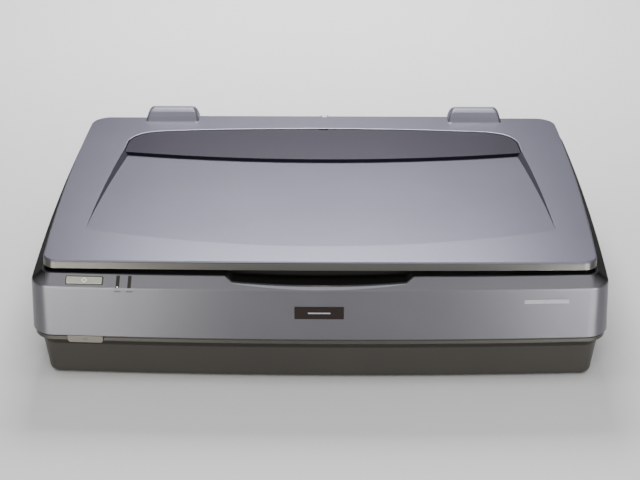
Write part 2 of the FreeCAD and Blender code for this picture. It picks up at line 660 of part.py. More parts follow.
# ---------------------------------------------------------------- carriage
def make_carriage():
    x0, x1 = CARRIAGE_X0, CARRIAGE_X1
    mid = (x0 + x1) / 2
    tray = box(x0, x1, CARRIAGE_Y0, CARRIAGE_Y1, CARRIAGE_Z0, CARRIAGE_Z1 - 4)
    tray = tray.cut(box(x0 + 2, x1 - 2, CARRIAGE_Y0 + 2, CARRIAGE_Y1 - 2, CARRIAGE_Z0 + 2, 140))
    arms = []
    for x in (x0, x1 - 18):
        arm = box(x, x + 18, CARRIAGE_Y1 - 1, 181.5, 91, 109)
        arms.append(arm.cut(cylinder(x - 1, ROD_Y, ROD_Z, (1, 0, 0), 8, 20)))
    housing = fuse(tray, *arms)
    save("carriage_housing", housing)
    sleeves = []
    for x in (x0, x1 - 18):
        bore = cylinder(x - 1, ROD_Y, ROD_Z, (1, 0, 0), ROD_RADIUS + RUNNING_CLEARANCE, 20)
        sleeves.append(cylinder(x, ROD_Y, ROD_Z, (1, 0, 0), 8, 18).cut(bore))
    save("rod_bushings", *sleeves)
    save("carriage_slider", box(mid - 8, mid + 8, -188, CARRIAGE_Y0, 90.5, 98))
    save("lamp_tube", cylinder(x0 + 14, CARRIAGE_Y0 + 6, 116.4, (0, 1, 0), 2.0, 324))
    reflector = prism_xz([(x0 + 9, 121.4), (x0 + 9, 113), (x0 + 19, 113), (x0 + 19, 121.4),
                          (x0 + 18.4, 121.4), (x0 + 18.4, 113.6), (x0 + 9.6, 113.6), (x0 + 9.6, 121.4)],
                         CARRIAGE_Y0 + 3, CARRIAGE_Y1 - 3)
    save("lamp_reflector", reflector)
    mirrors = []
    for dx, z, turn in ((24, 99, 45), (50, 104, -40), (30, 110, 35)):
        glass = box(-6, 6, CARRIAGE_Y0 + 8, CARRIAGE_Y1 - 8, -0.8, 0.8)
        glass.rotate(Vector(0, 0, 0), Vector(0, 1, 0), turn)
        glass.translate(Vector(x0 + dx, 0, z))
        mirrors.append(glass)
    save("scan_mirrors", *mirrors)
    middle_y = (CARRIAGE_Y0 + CARRIAGE_Y1) / 2
    save("scan_lens", cylinder(x0 + 38.5, middle_y, 94.2, (0, 0, 1), 5.2, 6.6))
    save("sensor_board", box(x0 + 6, x0 + 16, middle_y - 50, middle_y + 50, 94.2, 95.8))
    clamp = box(mid - 9, mid + 9, 181.5, 189.0, 93, 103)
    clamp = clamp.cut(box(mid - 12, mid + 12, PULLEY_Y - PULLEY_RADIUS - 1.2, PULLEY_Y - PULLEY_RADIUS + 1.1,
                          94.4, 110))
    link = box(mid - 9, mid + 9, CARRIAGE_Y1, 163.0, 93, 96)
    bridge = box(mid - 9, mid + 9, 162, 182, 89.6, 93.4)
    save("belt_clamp", fuse(clamp, link, bridge))


# ---------------------------------------------------------------- boards and connectors
def make_main_board():
    z = 17.0
    board = box(30, 240, -150, 60, z, z + 1.6)
    chips = [box(90, 120, -60, -30, z + 1.6, z + 4), box(150, 172, -20, 10, z + 1.6, z + 3.4),
             box(60, 74, 10, 34, z + 1.6, z + 3.2), box(196, 226, -130, -112, z + 1.6, z + 9)]
    for k in range(4):
        chips.append(cylinder(70 + 14 * k, -120, z + 1.6, (0, 0, 1), 4, 10))
    return fuse(board, *chips)


def make_supply_board():
    z = 17.0
    board = box(-235, -85, 60, 185, z, z + 1.6)
    parts = [box(-200, -160, 90, 125, z + 1.6, z + 32), box(-220, -210, 140, 170, z + 1.6, z + 26)]
    for k in range(3):
        parts.append(cylinder(-140 + 20 * k, 100, z + 1.6, (0, 0, 1), 8, 30))
    return fuse(board, *parts)


CONNECTOR_PLATE_Y = 213.0


def make_port(x, width, height, depth):
    """A shell around a plain socket mouth, its flange on the connector plate's outer face."""
    wall = 1.4
    face = CONNECTOR_PLATE_Y + 1.2
    body = box(x - width / 2 - wall, x + width / 2 + wall, face - depth, face + 1.0,
               PORT_Z - height / 2 - wall, PORT_Z + height / 2 + wall)
    mouth = box(x - width / 2, x + width / 2, face - depth + 1.6, face + 5,
                PORT_Z - height / 2, PORT_Z + height / 2)
    return cut(body, mouth)


def make_connectors():
    plate = box(PORT_WINDOW_X0 + 0.2, PORT_WINDOW_X1 - 0.2, CONNECTOR_PLATE_Y, CONNECTOR_PLATE_Y + 1.2,
                PORT_Z - PORT_WINDOW_HALF + 0.2, PORT_Z + PORT_WINDOW_HALF - 0.2)
    ports = {}
    for name, x, width, height, depth in PORTS:
        hole = box(x - width / 2 - 1.4, x + width / 2 + 1.4, 200, 230,
                   PORT_Z - height / 2 - 1.4, PORT_Z + height / 2 + 1.4)
        plate = plate.cut(hole)
        port = make_port(x, width, height, depth)
        if name == "power_inlet":
            back = CONNECTOR_PLATE_Y + 1.2 - depth + 1.6
            blades = [box(x - 1, x + 1, back, back + 9, PORT_Z, PORT_Z + 4)]
            for side in (-1, 1):
                blades.append(box(x + side * 7 - 1, x + side * 7 + 1, back, back + 9, PORT_Z - 4, PORT_Z))
            port = fuse(port, *blades)
        ports.setdefault(name, []).append(port)
    for name, shells in ports.items():
        save(name, *shells)
    save("connector_plate", plate)


def screw(x, y, z, up):
    """Pan-head screw; up is the direction that its head faces."""
    shank = cylinder(x, y, z, (0, 0, -up), 1.5, 8)
    head = cylinder(x, y, z, (0, 0, up), 2.9, 1.8)
    return fuse(shank, head)


# ---------------------------------------------------------------- write the nodes
save("upper_housing", make_upper_housing())
save("lower_housing", make_lower_housing())
save("bed_frame", make_bed_frame())
save("finger_well", make_finger_well())
save("platen_glass", box(-GLASS_HALF_X, GLASS_HALF_X, GLASS_FRONT, GLASS_REAR,
                         BED_TOP_Z - GLASS_THICK, BED_TOP_Z))
front_rule = box(-GLASS_HALF_X - 14, GLASS_HALF_X, GLASS_FRONT - 14, GLASS_FRONT, BED_TOP_Z, BED_TOP_Z + 1.0)
left_rule = box(-GLASS_HALF_X - 14, -GLASS_HALF_X, GLASS_FRONT, GLASS_REAR, BED_TOP_Z, BED_TOP_Z + 1.0)
save("guide_rulers", fuse(front_rule, left_rule))
save("badge_plate", make_badge())
save("name_strip", make_name_strip())
save("indicator_windows", *[on_bevel(led_prism(0, -0.05, 2.4), x) for x in LED_XS])

button = start_button_outline(0, -1.2, 1.6)
stem = box(-6, 6, 1.6, 6.5, 5, 11)
save("start_button", on_bevel(fuse(button, stem), START_X))
button = power_button_outline(0, -0.2, 6.0)
stem = box(-6, 6, 6.0, 16, 52.6, 58)
save("power_button", on_front(fuse(button, stem), POWER_X, 0.4))
panel = on_bevel(box(-30, 58, 8.2, 9.8, 1, 15), START_X)
save("control_board", panel)
save("switch_board", on_front(box(-24, 24, 18.5, 20.1, 32, 58), POWER_X, 0))

save("rubber_feet", *[make_foot(x, y) for x, y in FEET])

save("lid_shell", make_lid_shell())
save("lid_crescent", make_lid_crescent())
save("lid_inner_plate", make_lid_inner_plate())
save("lid_foam_pad", rounded_box(-224, 224, -170, 150, 130.0, LID_BOTTOM_Z + 0.1, 4))
save("lid_white_mat", rounded_box(-224, 224, -170, 150, 129.4, 130.0, 4))
for name, x in (("left", -HINGE_X), ("right", HINGE_X)):
    save("hinge_cover_" + name, make_hinge_cover(x))
    save("hinge_post_" + name, make_hinge_post(x))
save("hinge_brackets", make_hinge_bracket(-HINGE_X), make_hinge_bracket(HINGE_X))
save("hinge_pins", make_hinge_pin(-HINGE_X), make_hinge_pin(HINGE_X))
save("hinge_sockets", make_hinge_socket(-HINGE_X), make_hinge_socket(HINGE_X))

make_drive()
save("drive_belt", make_belt())
save("drive_motor", make_motor())
save("motor_bracket", make_motor_bracket())
save("idler_bracket", make_idler_bracket())
save("idler_spring", make_idler_spring())
save("guide_rod", cylinder(-270, ROD_Y, ROD_Z, (1, 0, 0), ROD_RADIUS, 540))
save("rod_brackets", make_rod_bracket(-270), make_rod_bracket(260))
save("slide_rail", make_slide_rail())
make_carriage()

plate = box(-255, 255, -178, 190, 12.0, 13.2)
for x, y in ((-245, -165), (245, -165), (-245, 182), (245, 182)):
    plate = plate.fuse(cylinder(x, y, FLOOR_TOP_Z, (0, 0, 1), 5, 12.0 - FLOOR_TOP_Z))
screws = [screw(x, y, 18.6, 1) for x, y in
          ((36, -144), (234, -144), (36, 54), (234, 54), (-229, 66), (-91, 179))]
save("board_screws", *screws)
save("chassis_plate", cut(plate.removeSplitter(), *screws))
save("main_board", cut(make_main_board(), *screws))
save("supply_board", cut(make_supply_board(), *screws))
make_connectors()
save("flat_cable", box(-60, 28, -60, -36, 13.2, 13.6))
save("white_reference", box(-246, -230, -160, 150, 124.0, BED_TOP_Z - BED_THICK))
save("home_sensor", fuse(box(-276, -266, -150, -136, FLOOR_TOP_Z, 100), box(-276, -262, -150, -136, 100, 108)))
lock = cylinder(LOCK_X, 220, LOCK_Z, (0, 1, 0), LOCK_RADIUS, 6.6)
lock = lock.cut(box(LOCK_X - 1.2, LOCK_X + 1.2, 224, 232, LOCK_Z - 7, LOCK_Z + 7))
save("transport_lock", lock)
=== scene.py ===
import json
import math
from collections import namedtuple

import bmesh
import bpy
from mathutils import Matrix, Vector


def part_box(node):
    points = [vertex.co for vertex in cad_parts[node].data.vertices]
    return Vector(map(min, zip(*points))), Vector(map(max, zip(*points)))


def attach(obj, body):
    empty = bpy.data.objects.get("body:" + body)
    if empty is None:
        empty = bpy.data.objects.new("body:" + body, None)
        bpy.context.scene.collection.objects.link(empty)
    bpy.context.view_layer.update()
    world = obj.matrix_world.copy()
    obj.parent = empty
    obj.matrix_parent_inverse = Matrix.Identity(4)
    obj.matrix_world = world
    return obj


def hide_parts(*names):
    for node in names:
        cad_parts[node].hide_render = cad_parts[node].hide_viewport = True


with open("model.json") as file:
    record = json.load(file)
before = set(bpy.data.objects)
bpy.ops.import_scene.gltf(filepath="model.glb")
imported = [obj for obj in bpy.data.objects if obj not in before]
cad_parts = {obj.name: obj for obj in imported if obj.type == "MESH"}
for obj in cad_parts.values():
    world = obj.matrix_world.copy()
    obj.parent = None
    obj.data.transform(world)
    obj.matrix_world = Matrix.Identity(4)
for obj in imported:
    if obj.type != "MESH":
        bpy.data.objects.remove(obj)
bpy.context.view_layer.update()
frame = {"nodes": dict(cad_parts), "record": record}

# Shapes are worked out in millimetres and written to the meshes in metres.
MM = 0.001

# ---------------------------------------------------------------- dimensions, as in the CAD
Plan = namedtuple("Plan", "half_width front rear front_bow side_bow front_radius rear_radius")
BASE = Plan(328.0, -229.0, 229.0, 9.9, 5.3, 28.0, 24.0)
LID = Plan(313.2, -205.0, 220.5, 4.0, 5.5, 16.0, 24.0)
LID_HIGH, LID_HIGH_Z = Plan(313.2, -197.1, 220.5, 1.2, 5.5, 16.0, 24.0), 155.0

BODY_BOTTOM_Z, FLOOR_TOP_Z = 2.1, 5.1
LIP_BOTTOM_Z, LIP_TOP_Z, SEAM_Z = 53.0, 57.5, 60.4
CREASE_Z, RIM_Z = 120.3, 130.8
LIP_INSET, BODY_TOP_INSET, BODY_BOTTOM_INSET = 2.2, 9.0, 15.6
CREASE_INSET, RIM_INSET, BED_INSET = 2.4, 15.0, 17.6
WALL = 3.0

LID_BOTTOM_Z, LID_FRONT_TOP_Z, LID_REAR_TOP_Z = 134.6, 143.4, 146.5
LID_WALL = 2.4
LID_EDGE_RADIUS = 1.4
LIP_REAR_Y, LIP_HALF_X = 226.0, 172.0
DISH_RADIUS, DISH_SLOPE = 33000.0, 0.026
DISH_FRONT_Y, DISH_REAR_Y = -163.0, 108.0
CRESCENT_TIP_X, POCKET_DEPTH = 255.0, 7.2
CRESCENT_DROP, CRESCENT_DIP = 0.7, 1.8

HINGE_X = 202.0
PIVOT_Y = 219.0
POST_HALF_X, POST_HALF_Y = 17.0, 3.0
START_X, START_HALF, START_LOW, START_HIGH = -260.0, 20.2, 4.2, 12.7
POWER_X, POWER_HALF, POWER_LOW_Z = -262.0, 19.8, 51.6
LED_XS = (-222.6, -209.6)
BADGE_HALF, BADGE_Z, BADGE_INSET = 27.3, (86.0, 100.7), 1.6
STRIP_X, STRIP_HALF, STRIP_Z = 251.0, 24.7, (103.4, 108.2)
WELL_TOP_HALF, WELL_BOTTOM_HALF, WELL_REAR_Y = 105.4, 96.2, -196.0
LOCK_X, LOCK_Z, LOCK_RADIUS = 235.0, 88.0, 9.0
PORT_Z = 34.0
PORT_WINDOW_X0, PORT_WINDOW_X1, PORT_WINDOW_HALF = -170.0, 200.0, 12.0
FOOT_RADIUS = 11.0
FEET = [(side * 262.0, y) for side in (-1, 1) for y in (-168.0, 176.0)]


# ---------------------------------------------------------------- outlines
def arc_centres(plan):
    """Centres and radii of the front arc, side arc and the two corner circles."""
    front_r = (plan.half_width ** 2 + plan.front_bow ** 2) / (2 * plan.front_bow)
    half_depth = (plan.rear - plan.front) / 2
    middle = (plan.rear + plan.front) / 2
    side_r = (half_depth ** 2 + plan.side_bow ** 2) / (2 * plan.side_bow)
    front_c = Vector((0.0, plan.front + front_r))
    side_c = Vector((plan.half_width - side_r, middle))

    # the front corner touches both long arcs from inside
    reach_f, reach_s = front_r - plan.front_radius, side_r - plan.front_radius
    link = side_c - front_c
    along = (reach_f ** 2 - reach_s ** 2 + link.length_squared) / (2 * link.length)
    off = math.sqrt(reach_f ** 2 - along ** 2)
    unit = link.normalized()
    across = Vector((-unit.y, unit.x))
    options = [front_c + along * unit + sign * off * across for sign in (1, -1)]
    corner_f = max(options, key=lambda p: p.x - p.y)
    rear_y = plan.rear - plan.rear_radius
    rear_x = side_c.x + math.sqrt((side_r - plan.rear_radius) ** 2 - (rear_y - middle) ** 2)
    corner_r = Vector((rear_x, rear_y))
    return front_c, front_r, side_c, side_r, corner_f, corner_r


def outline(plan):
    """Points and outward normals round the plan, anticlockwise from the front's middle."""
    front_c, front_r, side_c, side_r, corner_f, corner_r = arc_centres(plan)

    def heading(a, b):
        return math.atan2(b.y - a.y, b.x - a.x)

    a0 = -math.pi / 2
    a1 = heading(front_c, corner_f)
    a2 = heading(side_c, corner_f)
    a3 = heading(side_c, corner_r)
    a4 = math.pi / 2
    right = []
    runs = ((front_c, front_r, a0, a1, 26), (corner_f, plan.front_radius, a1, a2, 16),
            (side_c, side_r, a2, a3, 26), (corner_r, plan.rear_radius, a3, a4, 14))
    for centre, radius, start, end, steps in runs:
        for i in range(steps):
            angle = start + (end - start) * i / steps
            normal = Vector((math.cos(angle), math.sin(angle)))
            right.append((centre + radius * normal, normal))
    for i in range(15):
        right.append((Vector((corner_r.x * (1 - i / 14), plan.rear)), Vector((0.0, 1.0))))
    left = [(Vector((-p.x, p.y)), Vector((-n.x, n.y))) for p, n in right[-2:0:-1]]
    return right + left


def rounded(profile, steps=5):
    """A closed profile of (u, v, radius) corners as plain points, with its corners rounded."""
    points = []
    count = len(profile)
    for i, (u, v, radius) in enumerate(profile):
        here = Vector((u, v))
        if radius == 0:
            points.append(here)
            continue
        back = (Vector(profile[i - 1][:2]) - here).normalized()
        ahead = (Vector(profile[(i + 1) % count][:2]) - here).normalized()
        half = back.angle(ahead) / 2
        centre = here + (back + ahead).normalized() * radius / math.sin(half)
        reach = radius / math.tan(half)
        start, end = here + back * reach - centre, here + ahead * reach - centre
        turn = start.angle(end)
        for k in range(steps + 1):
            t = k / steps
            mix = (start * math.sin((1 - t) * turn) + end * math.sin(t * turn)) / math.sin(turn)
            points.append(centre + mix)
    return points


def quarter_round(radius, steps):
    """(inwards, under the top) offsets of a rounded edge, from the wall up to the top."""
    turns = [math.pi / 2 * i / steps for i in range(steps + 1)]
    return [(radius * (1 - math.cos(t)), radius * (1 - math.sin(t))) for t in turns]


def circle_through(a, b, c, steps):
    """Points of the arc from a through b to c, both ends included."""
    ax, ay, bx, by, cx, cy = *a, *b, *c
    d = 2 * (ax * (by - cy) + bx * (cy - ay) + cx * (ay - by))
    sa, sb, sc = ax * ax + ay * ay, bx * bx + by * by, cx * cx + cy * cy
    ux = (sa * (by - cy) + sb * (cy - ay) + sc * (ay - by)) / d
    uy = (sa * (cx - bx) + sb * (ax - cx) + sc * (bx - ax)) / d
    radius = math.hypot(ax - ux, ay - uy)
    start = math.atan2(ay - uy, ax - ux)
    through = (math.atan2(by - uy, bx - ux) - start) % (2 * math.pi)
    end = (math.atan2(cy - uy, cx - ux) - start) % (2 * math.pi)
    if through > end:
        end -= 2 * math.pi
    angles = [start + end * i / steps for i in range(steps + 1)]
    return [(ux + radius * math.cos(t), uy + radius * math.sin(t)) for t in angles]


def front_arc_radius():
    return (BASE.half_width ** 2 + BASE.front_bow ** 2) / (2 * BASE.front_bow)


def front_y(x, inset):
    """Y of the base's front arc at x, moved inwards by inset."""
    radius = front_arc_radius()
    return BASE.front + radius - math.sqrt((radius - inset) ** 2 - x ** 2)


def front_frame(x, inset):
    """Frame on the front wall at x: +X along the wall, -Y outwards, +Z up from the ground."""
    turn = Matrix.Rotation(math.asin(x / front_arc_radius()), 4, "Z")
    return Matrix.Translation((x, front_y(x, inset), 0)) @ turn


BEVEL_RISE, BEVEL_RUN = RIM_Z - CREASE_Z, RIM_INSET - CREASE_INSET
BEVEL_LENGTH = math.hypot(BEVEL_RISE, BEVEL_RUN)
BEVEL_ANGLE = math.atan2(BEVEL_RUN, BEVEL_RISE)
# thin bands lie this far over the surface that they cover, and reach this far into it
PROUD, SUNK = 0.06, 0.4


def bevel_frame(x):
    """Frame on the bevel at x: +X along it, -Y outwards, +Z up it from the crease."""
    turn = Matrix.Rotation(math.asin(x / front_arc_radius()), 4, "Z")
    return (Matrix.Translation((x, front_y(x, CREASE_INSET), CREASE_Z)) @ turn
            @ Matrix.Rotation(-BEVEL_ANGLE, 4, "X"))


LID_TILT = math.atan2(LID_REAR_TOP_Z - LID_FRONT_TOP_Z, LID.rear - LID.front)
TILT = Matrix.Translation((0, LID.front, LID_FRONT_TOP_Z)) @ Matrix.Rotation(LID_TILT, 4, "X") \
    @ Matrix.Translation((0, -LID.front, 0))


def lid_top_z(y):
    return LID_FRONT_TOP_Z + (y - LID.front) * math.tan(LID_TILT)


# ---------------------------------------------------------------- meshes
def new_piece(name, vertices, faces):
    mesh = bpy.data.meshes.new(name)
    mesh.from_pydata([Vector(v) * MM for v in vertices], [], faces)
    mesh.validate()
    piece = bpy.data.objects.new(name, mesh)
    bpy.context.scene.collection.objects.link(piece)
    return piece


def face_outwards(piece):
    bm = bmesh.new()
    bm.from_mesh(piece.data)
    bmesh.ops.recalc_face_normals(bm, faces=bm.faces)
    bm.to_mesh(piece.data)
    bm.free()
    return piece


def skin(name, rows, wrap_rows=False):
    """A closed mesh through rows of points; each row is a closed loop."""
    across = len(rows[0])
    vertices = [p for row in rows for p in row]
    faces = []
    last = len(rows) if wrap_rows else len(rows) - 1
    for i in range(last):
        a, b = i * across, (i + 1) % len(rows) * across
        for j in range(across):
            k = (j + 1) % across
            faces.append((a + j, a + k, b + k, b + j))
    if not wrap_rows:
        faces.append(tuple(range(across)))
        faces.append(tuple(len(vertices) - across + j for j in range(across)))
    return face_outwards(new_piece(name, vertices, faces))


def sweep(name, plan, profile):
    """A closed (inset, z) profile carried round the plan."""
    rows = []
    for point, normal in outline(plan):
        rows.append([(*(point - normal * inset), z) for inset, z in profile])
    return skin(name, rows, wrap_rows=True)


def stack(name, plan, sections):
    """A solid through the plan's outlines at (inset, z) steps."""
    rows = []
    for inset, z in sections:
        rows.append([(*(point - normal * inset), z) for point, normal in outline(plan)])
    return skin(name, rows)


def prism(name, points, axis, start, end, matrix=None):
    """A flat outline extruded along one axis; its two other coordinates are the outline's."""
    def place(u, v, w):
        return {"x": (w, u, v), "y": (u, w, v), "z": (u, v, w)}[axis]
    rows = [[place(u, v, w) for u, v in points] for w in (start, end)]
    if matrix is not None:
        rows = [[matrix @ Vector(p) for p in row] for row in rows]
    return skin(name, rows)


def block(name, x0, x1, y0, y1, z0, z1):
    return prism(name, [(x0, y0), (x1, y0), (x1, y1), (x0, y1)], "z", z0, z1)


def apply_modifiers(piece):
    graph = bpy.context.evaluated_depsgraph_get()
    mesh = bpy.data.meshes.new_from_object(piece.evaluated_get(graph))
    piece.modifiers.clear()
    old = piece.data
    piece.data = mesh
    mesh.name = old.name
    bpy.data.meshes.remove(old)


def combine(piece, tool, operation):
    """Cut, join or intersect piece with tool, which is used up."""
    modifier = piece.modifiers.new("combine", "BOOLEAN")
    modifier.operation = operation
    modifier.solver = "EXACT"
    modifier.object = tool
    apply_modifiers(piece)
    bpy.data.objects.remove(tool)
    return piece


def cut(piece, *tools):
    for tool in tools:
        combine(piece, tool, "DIFFERENCE")
    return piece


def soften(piece, degrees=28):
    """Smooth shading with sharp edges kept."""
    piece.data.shade_smooth()
    piece.data.set_sharp_from_angle(angle=math.radians(degrees))
    return piece


def show(piece, body, slot, *nodes, finish=None):
    """Give the piece its body and the named finish, else the slot's finish, and hide the CAD nodes that it
    stands for.
    """
    # the large faces set the shading along their borders, so that they look flat
    weigh = piece.modifiers.new("weigh", "WEIGHTED_NORMAL")
    weigh.keep_sharp = True
    apply_modifiers(piece)
    piece.data.materials.clear()
    piece.data.materials.append(finishes[finish or slot])
    for polygon in piece.data.polygons:
        polygon.material_index = 0
    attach(piece, body)
    if nodes:
        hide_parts(*nodes)
    return piece


# ---------------------------------------------------------------- finishes
def node_tree(name):
    material = bpy.data.materials.new(name)
    material.use_nodes = True
    nodes, links = material.node_tree.nodes, material.node_tree.links
    return material, nodes, links, nodes["Principled BSDF"]


def moulded(name, colour, roughness, metallic=0.0, grain=0.6, relief=0.03, tone=0.05, gloss=0.05,
            brushed=None, shine=0.5):
    """Moulded or painted surface: broad clouds and fine grain in its tone, gloss and relief."""
    material, nodes, links, shader = node_tree(name)
    place = nodes.new("ShaderNodeTexCoord")
    fine = nodes.new("ShaderNodeTexNoise")
    fine.inputs["Scale"].default_value = 1 / (grain * MM)
    fine.inputs["Detail"].default_value = 4.0
    broad = nodes.new("ShaderNodeTexNoise")
    broad.inputs["Scale"].default_value = 9.0
    broad.inputs["Detail"].default_value = 3.0
    links.new(place.outputs["Object"], fine.inputs["Vector"])
    links.new(place.outputs["Object"], broad.inputs["Vector"])
    blend = nodes.new("ShaderNodeMath")
    blend.operation = "ADD"
    links.new(fine.outputs["Fac"], blend.inputs[0])
    links.new(broad.outputs["Fac"], blend.inputs[1])

    ramp = nodes.new("ShaderNodeValToRGB")
    ramp.color_ramp.elements[0].position = 0.35
    ramp.color_ramp.elements[1].position = 0.65
    ramp.color_ramp.elements[0].color = (*[c * (1 - tone) for c in colour], 1)
    ramp.color_ramp.elements[1].color = (*[c * (1 + tone) for c in colour], 1)
    halve = nodes.new("ShaderNodeMath")
    halve.operation = "MULTIPLY"
    halve.inputs[1].default_value = 0.5
    links.new(blend.outputs[0], halve.inputs[0])
    links.new(halve.outputs[0], ramp.inputs["Fac"])
    links.new(ramp.outputs["Color"], shader.inputs["Base Color"])

    spread = nodes.new("ShaderNodeMapRange")
    spread.inputs["From Min"].default_value = 0.3
    spread.inputs["From Max"].default_value = 0.7
    spread.inputs["To Min"].default_value = max(roughness - gloss, 0.02)
    spread.inputs["To Max"].default_value = min(roughness + gloss, 1.0)
    links.new(fine.outputs["Fac"], spread.inputs["Value"])
    links.new(spread.outputs["Result"], shader.inputs["Roughness"])

    bump = nodes.new("ShaderNodeBump")
    bump.inputs["Strength"].default_value = 0.35
    bump.inputs["Distance"].default_value = relief * MM
    links.new(fine.outputs["Fac"], bump.inputs["Height"])
    links.new(bump.outputs["Normal"], shader.inputs["Normal"])
    shader.inputs["Specular IOR Level"].default_value = shine
    if brushed:
        spread_along = nodes.new("ShaderNodeCombineXYZ")
        for axis, value in zip("XYZ", brushed):
            spread_along.inputs[axis].default_value = value
        links.new(spread_along.outputs["Vector"], shader.inputs["Tangent"])
        shader.inputs["Anisotropic"].default_value = 0.8
    shader.inputs["Metallic"].default_value = metallic
    return material


def darkening_rearwards(material, colour, start, end):
    """Let the material's tone run into colour between two distances behind the middle."""
    nodes, links = material.node_tree.nodes, material.node_tree.links
    shader = nodes["Principled BSDF"]
    place = nodes.new("ShaderNodeTexCoord")
    split = nodes.new("ShaderNodeSeparateXYZ")
    fade = nodes.new("ShaderNodeMapRange")
    fade.inputs["From Min"].default_value = start * MM
    fade.inputs["From Max"].default_value = end * MM
    mix = nodes.new("ShaderNodeMix")
    mix.data_type = "RGBA"
    links.new(place.outputs["Object"], split.inputs["Vector"])
    links.new(split.outputs["Y"], fade.inputs["Value"])
    links.new(fade.outputs["Result"], mix.inputs[0])
    links.new(shader.inputs["Base Color"].links[0].from_socket, mix.inputs[6])
    mix.inputs[7].default_value = (*colour, 1)
    links.new(mix.outputs[2], shader.inputs["Base Color"])
    return material


def clear_glass(name, colour, roughness):
    material, nodes, links, shader = node_tree(name)
    place = nodes.new("ShaderNodeTexCoord")
    smears = nodes.new("ShaderNodeTexNoise")
    smears.inputs["Scale"].default_value = 14.0
    smears.inputs["Detail"].default_value = 5.0
    links.new(place.outputs["Object"], smears.inputs["Vector"])
    spread = nodes.new("ShaderNodeMapRange")
    spread.inputs["From Min"].default_value = 0.4
    spread.inputs["From Max"].default_value = 0.75
    spread.inputs["To Min"].default_value = roughness
    spread.inputs["To Max"].default_value = roughness + 0.05
    links.new(smears.outputs["Fac"], spread.inputs["Value"])
    links.new(spread.outputs["Result"], shader.inputs["Roughness"])
    shader.inputs["Base Color"].default_value = (*colour, 1)
    shader.inputs["Transmission Weight"].default_value = 1.0
    shader.inputs["IOR"].default_value = 1.5
    return material


LID_COLOUR = (0.197, 0.192, 0.246)
HOUSING_COLOUR = (0.154, 0.152, 0.166)
finishes = {
    "housing_grey": moulded("housing_grey", HOUSING_COLOUR, 0.4, metallic=0.85, brushed=(0, 0, 1)),
    # lighter copy of the housing grey: painted highlight along the finger well's lower edge
    "painted_highlight_grey": moulded("painted_highlight_grey", (0.27, 0.272, 0.305), 0.4, metallic=0.85, brushed=(0, 0, 1)),
    "trim_grey": moulded("trim_grey", (0.112, 0.108, 0.095), 0.38, metallic=0.85, brushed=(0, 0, 1)),
    "base_dark": moulded("base_dark", (0.062, 0.058, 0.052), 0.4, metallic=0.75, relief=0.05, shine=0.25),
    # darker copy of base_dark: painted shade under the lip
    "under_lip_painted_shade": moulded("under_lip_painted_shade", (0.036, 0.034, 0.03), 0.45, metallic=0.75, shine=0.2),
    "deck_black": moulded("deck_black", (0.005, 0.0045, 0.004), 0.6, shine=0.2),
    "lid_silver": moulded("lid_silver", LID_COLOUR, 0.36, metallic=0.85),
    # brighter copy of the lid silver: painted light on the hinge covers
    "cover_silver_painted_light": moulded("cover_silver_painted_light", (0.226, 0.22, 0.273), 0.52, metallic=0.72),
    "crescent_dark": moulded("crescent_dark", (0.035, 0.031, 0.047), 0.38, metallic=0.6, shine=0.35),
    "platen_glass": clear_glass("platen_glass", (0.93, 0.97, 0.95), 0.01),
    "button_silver": moulded("button_silver", (0.33, 0.33, 0.28), 0.32, metallic=0.6),
    "power_grey": moulded("power_grey", (0.135, 0.127, 0.11), 0.45, metallic=0.3),
    "mat_white": moulded("mat_white", (0.85, 0.85, 0.84), 0.75, grain=1.2, relief=0.05),
    "foam_white": moulded("foam_white", (0.78, 0.78, 0.76), 0.9, grain=1.6, relief=0.3, tone=0.08),
    "rubber_black": moulded("rubber_black", (0.02, 0.02, 0.02), 0.75, grain=0.9, relief=0.08, tone=0.2),
    "rule_grey": moulded("rule_grey", (0.05, 0.05, 0.052), 0.55),
    "badge_black": moulded("badge_black", (0.013, 0.009, 0.008), 0.35, tone=0.1, shine=0.15),
    "strip_silver": moulded("strip_silver", (0.42, 0.42, 0.45), 0.3, metallic=0.8),
    "window_dark": moulded("window_dark", (0.02, 0.017, 0.014), 0.3, tone=0.1, shine=0.2),
    "board_green": moulded("board_green", (0.012, 0.09, 0.035), 0.4, grain=2.0, tone=0.15),
    "steel_plain": moulded("steel_plain", (0.42, 0.42, 0.43), 0.38, metallic=1.0, grain=1.0),
    "steel_bright": moulded("steel_bright", (0.62, 0.62, 0.63), 0.16, metallic=1.0, gloss=0.03),
    "bushing_bronze": moulded("bushing_bronze", (0.45, 0.27, 0.09), 0.35, metallic=1.0),
    "black_plastic": moulded("black_plastic", (0.02, 0.02, 0.021), 0.5, tone=0.1),
    "gear_white": moulded("gear_white", (0.72, 0.7, 0.64), 0.45),
    "lamp_glass": clear_glass("lamp_glass", (0.95, 0.95, 0.9), 0.25),
    "mirror_face": moulded("mirror_face", (0.9, 0.9, 0.9), 0.04, metallic=1.0, gloss=0.02, relief=0.001),
    "cable_white": moulded("cable_white", (0.6, 0.6, 0.58), 0.55),
}
# painted shade: the side bevels' colour runs to near black just behind their front ends
finishes["side_painted_shade"] = darkening_rearwards(
    moulded("side_painted_shade", HOUSING_COLOUR, 0.6, metallic=0.5, brushed=(0, 0, 1), shine=0.1),
    (0.004, 0.0035, 0.003), -218.0, -200.0)
for row in frame["record"]["subparts"]:
    mesh = frame["nodes"][row["node"]].data
    mesh.materials.clear()
    mesh.materials.append(finishes[row["material_slot"]])
    for polygon in mesh.polygons:
        polygon.material_index = 0

# ---------------------------------------------------------------- base housings
def rounded_outline(x0, x1, z0, z1, radius, steps=5):
    corners = [(x0, z0, radius), (x1, z0, radius), (x1, z1, radius), (x0, z1, radius)]
    return [tuple(p) for p in rounded(corners, steps)]


def disc_outline(x, y, radius, steps=40):
    turns = [2 * math.pi * i / steps for i in range(steps)]
    return [(x + radius * math.cos(t), y + radius * math.sin(t)) for t in turns]


WELL_FLOOR = circle_through((-WELL_BOTTOM_HALF, 126.0), (0, 123.4), (WELL_BOTTOM_HALF, 126.0), 28)


